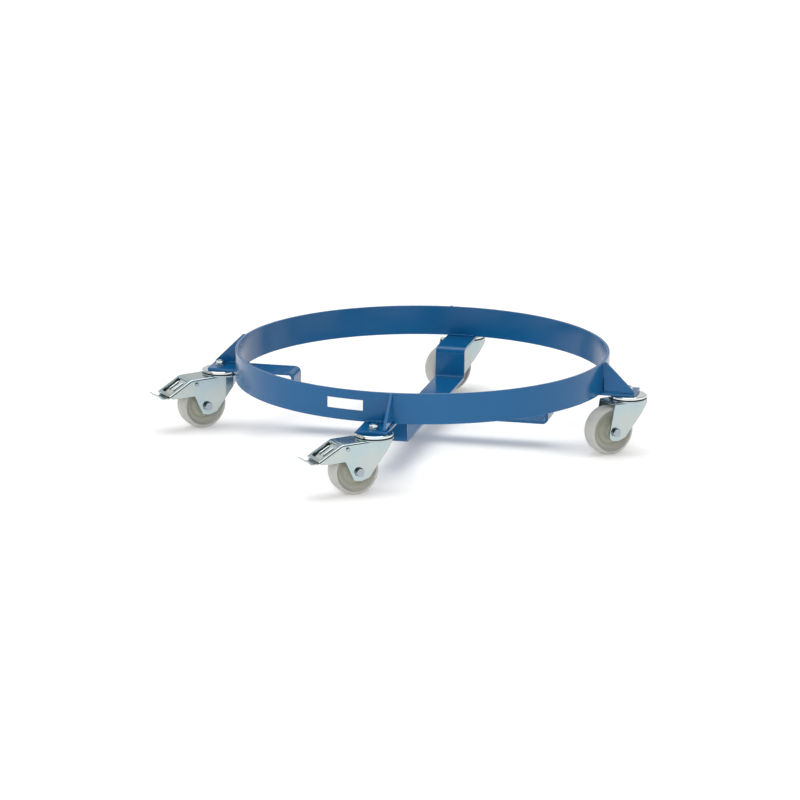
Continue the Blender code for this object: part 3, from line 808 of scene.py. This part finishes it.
def room_outline(braked):
    """Side view of the room under the sheet, open at the bottom, front and back."""
    roof = FORK_TOP - SHEET
    floor = CHEEK_BOTTOM - 20
    if not braked:
        return [(-50, roof), (-50, floor), (60, floor), (60, roof)]
    slope = (HOOD_TIP[1] - HOOD_KNEE[1]) / (HOOD_TIP[0] - HOOD_KNEE[0])
    drop = SHEET * 1.1
    corners = [
        (-50, roof, 0), (-50, floor, 0), (130, floor, 0),
        (130, HOOD_TIP[1] + (130 - HOOD_TIP[0]) * slope - drop, 0),
        (HOOD_KNEE[0] - 0.5, HOOD_KNEE[1] - drop, 12), (29.5, roof, 0),
    ]
    return fillet(corners, 0, 8, closed=True)


def fork_mesh(braked, trail, axle):
    half = FORK_HALF
    outer = bend_top(prism(braked_outline() if braked else plain_outline(), -half, half), FORK_BEND, 8)
    inside = bend_top(prism(room_outline(braked), -half + SHEET, half - SHEET), FORK_BEND - SHEET, 4)
    inside_plan = prism(plan_outline(SHEET, 160), CHEEK_BOTTOM - 30, 0.0, axes="XY")
    room = carved(inside, [("INTERSECT", inside_plan)])
    axle_hole = along_y(shaft([(AXLE_BORE, -half - 10), (AXLE_BORE, half + 10)], 48), (trail, 0, axle))
    steps = [
        ("INTERSECT", prism(plan_outline(0.0, 150), CHEEK_BOTTOM - 10, 0.0, axes="XY")),
        ("UNION", crown()),
        ("DIFFERENCE", room),
        ("DIFFERENCE", shaft([(KINGPIN_BORE, -30), (KINGPIN_BORE, 0)], 48)),
        ("DIFFERENCE", axle_hole),
    ]
    for side in (-1, 1):
        steps.append(("DIFFERENCE", dimple(8.6, 11.2, 1.5, side, (trail, 0, axle))))
        if braked:
            steps.append(("DIFFERENCE", dimple(3.9, 5.2, 0.9, side, BRAKE_PIN)))
    if braked:
        start, end, half_window = WINDOW
        window = prism(rounded_window(start, end, half_window), -60, 0, axes="XY")
        steps.append(("DIFFERENCE", window))
        pin = along_y(shaft([(PIN_BORE, -half - 10), (PIN_BORE, half + 10)], 32), BRAKE_PIN)
        steps.append(("DIFFERENCE", pin))
    name = "fork_braked" if braked else "fork_plain"
    # The fork's faces inside the race get near-black painted shade
    return with_race_shade(finished(name, carved(outer, steps, edge=0.35, sharp=48), 38), MATERIALS["zinc_plate"])


def dimple(floor_radius, rim_radius, depth, side, place):
    """A cutter for a shallow round recess in the cheek, at (x, 0, z)."""
    slope = (rim_radius - floor_radius) / depth
    bm = shaft([(floor_radius, FORK_HALF - depth), (rim_radius + slope, FORK_HALF + 1.0)], 72)
    if side < 0:
        bm.transform(Matrix.Rotation(math.pi, 4, "X"))
    return along_y(bm, place)


def rounded_window(start, end, half):
    corners = [(start, -half), (end, -half), (end, half), (start, half)]
    return fillet(corners, 2.0, 5, closed=True)


# Wheel and axle, about the axle along Y ----------------------------------------------------------


def wheel_mesh():
    """A solid wheel: crowned tread, rolled rim, stepped dish with a ring step, and a long hub."""
    side = [
        (WHEEL_RADIUS, 0.0, 0), (39.9, 7.0, 14), (39.1, 12.4, 3.0), (36.9, 14.5, 1.6), (34.6, 14.5, 1.1),
        (33.0, 11.6, 1.6), (30.2, 8.6, 2.0), (23.4, 7.0, 1.2), (21.9, 6.0, 0.7), (16.2, 6.6, 2.6),
        (14.1, 9.4, 2.4), (13.1, 19.0, 0.9), (6.2, 19.0, 0.4),
    ]
    other = [(radius, -across, rounding) for radius, across, rounding in reversed(side[1:])]
    return finished("wheel", along_y(lathe(fillet(side + other, 0, 5, closed=True), 144)), 50)


def tube_mesh():
    half = FORK_HALF - SHEET - GAP
    profile = [
        (AXLE_BORE, -half, 0.2), (TUBE_RADIUS, -half, 0.3), (TUBE_RADIUS, half, 0.3), (AXLE_BORE, half, 0.2),
    ]
    return finished("axle_tube", along_y(lathe(fillet(profile, 0, 3, closed=True), 64)))


def collar():
    """The plain ring under a hexagon, which reaches down into the cheek's recess."""
    low, high = FORK_HALF - 1.4, FORK_HALF + 0.5
    profile = [(AXLE_BORE, low, 0), (6.9, low, 0.2), (6.9, high, 0.3), (AXLE_BORE, high, 0)]
    return lathe(fillet(profile, 0, 3, closed=True), 64)


def axle_bolt_mesh():
    half = FORK_HALF
    head = hexagon(AXLE_FLATS, half + GAP, half + 4.3)
    plate = collar()
    thread = threaded(AXLE_RADIUS, half + 5.0, half + 8.0, THREAD_PITCH, 40)
    thread.transform(Matrix.Rotation(math.pi, 4, "X"))
    plain = shaft([(AXLE_RADIUS, -half - 5.0), (AXLE_RADIUS, half + 2.0)], 40)
    return finished("axle_bolt", along_y(joined(head, plate, plain, thread)))


def axle_nut_mesh():
    half = FORK_HALF
    nut = hexagon(AXLE_FLATS, half + GAP, half + 6.8, bore=AXLE_RADIUS + GAP)
    nut = joined(nut, collar())
    nut.transform(Matrix.Rotation(math.pi, 4, "X"))
    return finished("axle_nut", along_y(nut))


# Foot brake, about its pin -----------------------------------------------------------------------


def pedal_mesh():
    """A pressed channel under the hood: ribbed roof, side lugs on the pin, shoe and upturned tongue."""
    slope = [(6.0, 3.9), (9.0, 3.8, 2), (37.5, -12.6, 9), (50.0, -21.4, 7)]
    roof = fillet(slope + [(61.0, -21.4, 7), (69.0, -13.8)], 6.0, 8)
    upper = []
    lower = []
    for index, point in enumerate(roof):
        along = (roof[min(index + 1, len(roof) - 1)] - roof[max(index - 1, 0)]).normalized()
        across = Vector((-along.y, along.x)) * PEDAL_SHEET / 2
        upper.append(point + across)
        lower.append(point - across)
    sheet = prism(upper + lower[::-1], -PEDAL_HALF, PEDAL_HALF)
    lug = fillet(
        [
            (-3.0, 3.7), (-4.5, 2.0), (-4.5, -3.5), (0.0, -5.5), (16.0, -10.5), (44.5, -20.1, 0.5),
            (44.5, -17.6, 0.5), (37.5, -12.7, 3), (9.5, 3.5, 0.5), (5.5, 4.4, 0.5),
        ],
        1.2, 4, closed=True,
    )
    steps = [
        ("UNION", prism(lug, -PEDAL_HALF, -PEDAL_HALF + PEDAL_SHEET)),
        ("UNION", prism(lug, PEDAL_HALF - PEDAL_SHEET, PEDAL_HALF)),
    ]
    shoe = fillet([(12.0, 2.0), (12.0, -7.5), (16.0, -11.5), (24.0, -14.0), (26.2, -5.7)], 2.0, 4)
    steps.append(("UNION", prism(shoe, -9.0, 9.0)))
    start, end = Vector((17.5, 0, 0.4)), Vector((37.5, 0, -11.2))
    for side in (-1, 1):
        steps.append(("UNION", rib(start, end, side * 7.2, 2.1)))
    beside = [(50.0, -50.0), (90.0, -50.0), (90.0, 20.0), (50.0, 20.0)]
    for side in (-1, 1):
        near, far = sorted((side * TONGUE_HALF, side * (PEDAL_HALF + 10)))
        steps.append(("DIFFERENCE", prism(beside, near, far)))
    steps.append(("DIFFERENCE", along_y(shaft([(PIN_BORE, -30), (PIN_BORE, 30)], 32))))
    return finished("brake_pedal", carved(sheet, steps, edge=0.3, sharp=48), 38)


def rib(start, end, across, radius):
    """A round-topped rib with tapered ends, sunk in the pedal's roof between two points."""
    length = (end - start).length
    taper = radius * 1.6
    rows = []
    for step in range(7):
        angle = math.pi / 2 * step / 6
        rows.append((radius * max(math.sin(angle), 0.05), taper * (1 - math.cos(angle))))
    rows += [(reach, length - z) for reach, z in reversed(rows)]
    bm = shaft(rows, 20)
    turn = Vector((0, 0, 1)).rotation_difference(end - start).to_matrix().to_4x4()
    bm.transform(Matrix.Translation((start.x, across, start.z)) @ turn)
    return bm


def brake_pin_mesh():
    """The rivet that the pedal turns on, with a low domed head in the recess at each end."""
    half = FORK_HALF
    head = [(2.4, -0.7), (3.3, -0.7), (3.3, 0.1), (2.7, 0.7), (1.4, 1.05)]
    rows = [(radius, -half - rise) for radius, rise in reversed(head)]
    rows += [(radius, half + rise) for radius, rise in head]
    return finished("brake_pin", along_y(shaft(rows, 40)))


def spring_mesh():
    """A torsion spring round the brake pin, as a round wire helix."""
    per_turn = 20
    count = SPRING_TURNS * per_turn
    path = []
    for index in range(count + 1):
        angle = 2 * math.pi * index / per_turn
        across = SPRING_LENGTH * (index / count - 0.5)
        path.append(Vector((SPRING_COIL * math.cos(angle), across, SPRING_COIL * math.sin(angle))))

    def section(point, along):
        out = Vector((point.x, 0, point.z)).normalized()
        other = along.cross(out)
        ring = []
        for step in range(10):
            angle = 2 * math.pi * step / 10
            ring.append(point + (out * math.cos(angle) + other * math.sin(angle)) * SPRING_WIRE / 2)
        return ring

    return finished("brake_spring", swept(path, section))


# Assembly ----------------------------------------------------------------------------------------

AZIMUTH = {"front": -90.0, "right": 0.0, "back": 90.0, "left": 180.0}
GUSSET_SIDE = {"front": 1, "right": -1, "back": 1, "left": -1}

piece("ring", ring_mesh(), "blue_paint", "frame", ["guide_ring"])
for node, turn in (("cross_strip_front_back", 90), ("cross_strip_left_right", 0)):
    piece(node.replace("cross_", ""), strip_mesh(node, turn), "blue_paint", "frame", [node])
for number, place in enumerate(PLACES):
    gusset = gusset_mesh(place, AZIMUTH[place], GUSSET_SIDE[place])
    piece(f"gusset_plate_{place}", gusset, "blue_paint", "frame", [f"gusset_{place}"])
    weld = weld_mesh(place, AZIMUTH[place], GUSSET_SIDE[place], 10 * number)
    piece(f"weld_{place}", weld, "blue_paint", "frame")
piece("weld_crossing", crossing_weld_mesh(), "blue_paint", "frame")
piece("label_blank", label_mesh(), "white_film", "frame", ["blank_label"])

swivel_at = {place: Vector(JOINTS[f"swivel_{place}"]["pos_m"]) for place in PLACES}
axle_at = {place: Vector(JOINTS[f"wheel_spin_{place}"]["pos_m"]) for place in PLACES}
across_of = {place: Vector(JOINTS[f"wheel_spin_{place}"]["axis"]).normalized() for place in PLACES}
BRAKED = [place for place in PLACES if f"brake_press_{place}" in JOINTS]


def caster_space(place, origin):
    """The matrix that sets a caster piece at the origin, +X the way the fork trails."""
    across = across_of[place]
    along = Vector((across.y, -across.x, 0))
    matrix = Matrix((along, across, Vector((0, 0, 1)))).transposed().to_4x4()
    matrix.translation = origin
    return matrix


lag = axle_at["front"] - swivel_at["front"]
TRAIL = math.hypot(lag.x, lag.y) / MM
AXLE_DROP = lag.z / MM
pin_at = {place: Vector(JOINTS[f"brake_press_{place}"]["pos_m"]) for place in BRAKED}
lead = pin_at["front"] - swivel_at["front"]
BRAKE_PIN = (math.hypot(lead.x, lead.y) / MM, 0, lead.z / MM)

shared = {
    "cup": cup_mesh(), "balls": ball_mesh(), "washer": washer_mesh(), "kingpin": kingpin_mesh(),
    "kingpin_nut": kingpin_nut_mesh(), "fork_plain": fork_mesh(False, TRAIL, AXLE_DROP),
    "fork_braked": fork_mesh(True, TRAIL, AXLE_DROP), "wheel": wheel_mesh(), "tube": tube_mesh(),
    "axle_bolt": axle_bolt_mesh(), "axle_nut": axle_nut_mesh(), "pedal": pedal_mesh(),
    "brake_pin": brake_pin_mesh(), "spring": spring_mesh(),
}
for place in PLACES:
    head = Matrix.Translation(swivel_at[place]) @ Matrix.Rotation(math.radians(AZIMUTH[place]), 4, "Z")
    swivel = caster_space(place, swivel_at[place])
    axle = caster_space(place, axle_at[place])
    kind = "fork_braked" if place in BRAKED else "fork_plain"
    body = f"caster_{place}"
    rows = [
        ("head_cup", "cup", "zinc_plate", "frame", "raceway_cup", head, None),
        ("head_bolt", "kingpin", "zinc_plate", "frame", "kingpin_bolt", head, PRESSED_ZINC),
        ("head_washer", "washer", "zinc_plate", "frame", "kingpin_washer", head, PRESSED_ZINC),
        ("head_nut", "kingpin_nut", "zinc_plate", "frame", "kingpin_nut", head, PRESSED_ZINC),
        ("head_balls", "balls", "bearing_steel", body, "ball_ring", swivel, None),
        ("fork_shell", kind, "zinc_plate", body, "fork", swivel, None),
        ("axle_spacer", "tube", "zinc_plate", body, "axle_tube", axle, None),
        ("axle_screw", "axle_bolt", "zinc_plate", body, "axle_bolt", axle, FASTENER_ZINC),
        ("axle_locknut", "axle_nut", "zinc_plate", body, "axle_nut", axle, FASTENER_ZINC),
        ("roller", "wheel", "polyamide", f"roller_{place}", "wheel", axle, None),
    ]
    if place in BRAKED:
        pivot = caster_space(place, pin_at[place])
        rows += [
            ("foot_pedal", "pedal", "zinc_plate", f"foot_brake_{place}", "brake_pedal", pivot, PRESSED_ZINC),
            ("pedal_rivet", "brake_pin", "zinc_plate", body, "brake_pin", pivot, FASTENER_ZINC),
            ("pedal_spring", "spring", "spring_steel", body, "brake_spring", pivot, None),
        ]
    for name, key, slot, rides, node, matrix, finish in rows:
        piece(f"{name}_{place}", shared[key], slot, rides, [f"{node}_{place}"], matrix, finish)


# Stage, light and camera -------------------------------------------------------------------------

FLOOR = axle_at["front"].z - WHEEL_RADIUS * MM - 0.0002
CAMERA_PLACE = (1.62891, -7.22806, 1.90729)
CAMERA_TURN = (75.64414, -0.38451, 13.08216)
CAMERA_LENS = 207.1238
DARK_SIDE = (0.22, -0.975, 0.0)  # the way the dark patch lies
WALL_LIGHT = 0.72
DARK_LIGHT = 0.04
FLOOR_GLOW = 0.17


def make_floor():
    graph = Graph("studio_floor")
    tone = graph.ramp(graph.noise(1.3, 3.0), 0.3, 0.7, 0.0, 1.0)
    colour = graph.mix(tone, (0.905, 0.900, 0.892, 1), (0.920, 0.915, 0.905, 1))
    graph.set(Base_Color=colour, Roughness=0.9, Specular_IOR_Level=0.1)
    graph.set(Emission_Color=(1, 1, 1, 1), Emission_Strength=FLOOR_GLOW)
    bm = bmesh.new()
    bmesh.ops.create_circle(bm, cap_ends=True, segments=96, radius=60.0)
    mesh = bpy.data.meshes.new("studio_floor")
    bm.to_mesh(mesh)
    bm.free()
    mesh.materials.append(graph.material)
    floor = bpy.data.objects.new("studio_floor", mesh)
    floor.location.z = FLOOR
    bpy.context.scene.collection.objects.link(floor)


def make_world():
    """White studio walls with a dim side behind the camera, which draws the dark lines in the metal."""
    world = bpy.data.worlds.new("studio")
    world.use_nodes = True
    tree = world.node_tree
    nodes, links = tree.nodes, tree.links
    background = nodes["Background"]
    where = nodes.new("ShaderNodeTexCoord").outputs["Generated"]
    split = nodes.new("ShaderNodeSeparateXYZ")
    links.new(where, split.inputs[0])
    ahead = nodes.new("ShaderNodeVectorMath")
    ahead.operation = "DOT_PRODUCT"
    ahead.inputs[1].default_value = DARK_SIDE
    links.new(where, ahead.inputs[0])

    def smooth(value, low, high, to_low, to_high):
        node = nodes.new("ShaderNodeMapRange")
        node.interpolation_type = "SMOOTHSTEP"
        for key, number in zip(("From Min", "From Max", "To Min", "To Max"), (low, high, to_low, to_high)):
            node.inputs[key].default_value = number
        links.new(value, node.inputs["Value"])
        return node.outputs["Result"]

    def multiply(first, second):
        node = nodes.new("ShaderNodeMath")
        node.operation = "MULTIPLY"
        links.new(first, node.inputs[0])
        links.new(second, node.inputs[1])
        return node.outputs["Value"]

    front = smooth(ahead.outputs["Value"], 0.05, 0.55, 0.0, 1.0)
    above = smooth(split.outputs["Z"], 0.04, 0.14, 0.0, 1.0)
    below = smooth(split.outputs["Z"], 0.72, 0.88, 1.0, 0.0)
    dark = multiply(multiply(front, above), below)
    wall = smooth(dark, 0.0, 1.0, WALL_LIGHT, DARK_LIGHT)
    seen = nodes.new("ShaderNodeLightPath").outputs["Is Camera Ray"]
    white = nodes.new("ShaderNodeMix")
    white.inputs["B"].default_value = 1.0
    links.new(seen, white.inputs["Factor"])
    links.new(wall, white.inputs["A"])
    links.new(white.outputs["Result"], background.inputs["Strength"])
    background.inputs["Color"].default_value = (1.0, 1.0, 1.0, 1.0)
    bpy.context.scene.world = world


def overhead_light(name, place, strength, spread):
    """A distant soft light, so that the floor is as bright far away as it is under the dolly."""
    light = bpy.data.lights.new(name, "SUN")
    light.energy = strength
    light.angle = math.radians(spread)
    obj = bpy.data.objects.new(name, light)
    obj.location = place
    obj.rotation_euler = (-Vector(place)).to_track_quat("-Z", "Y").to_euler()
    bpy.context.scene.collection.objects.link(obj)


def area_light(name, place, target, size, power):
    light = bpy.data.lights.new(name, "AREA")
    light.shape = "RECTANGLE"
    light.size, light.size_y = size
    light.energy = power
    obj = bpy.data.objects.new(name, light)
    obj.location = place
    obj.rotation_euler = (Vector(target) - Vector(place)).to_track_quat("-Z", "Y").to_euler()
    bpy.context.scene.collection.objects.link(obj)
    return obj


def make_camera():
    data = bpy.data.cameras.new("camera")
    data.sensor_width = 36.0
    data.lens = CAMERA_LENS
    data.clip_end = 200.0
    camera = bpy.data.objects.new("camera", data)
    camera.location = CAMERA_PLACE
    camera.rotation_euler = [math.radians(angle) for angle in CAMERA_TURN]
    bpy.context.scene.collection.objects.link(camera)
    bpy.context.scene.camera = camera


make_floor()
make_world()
overhead_light("overhead", (-0.1, 0.3, 2.2), 1.25, 50.0)
area_light("softbox_left", (-2.6, -1.6, 1.3), (0.0, 0.0, 0.0), (1.2, 1.2), 6.0)
fill = area_light("softbox_front", (0.6, -3.9, 1.6), (0.0, 0.0, 0.0), (2.4, 2.0), 80.0)
fill.visible_glossy = False
make_camera()
bpy.context.scene.view_settings.view_transform = "Standard"
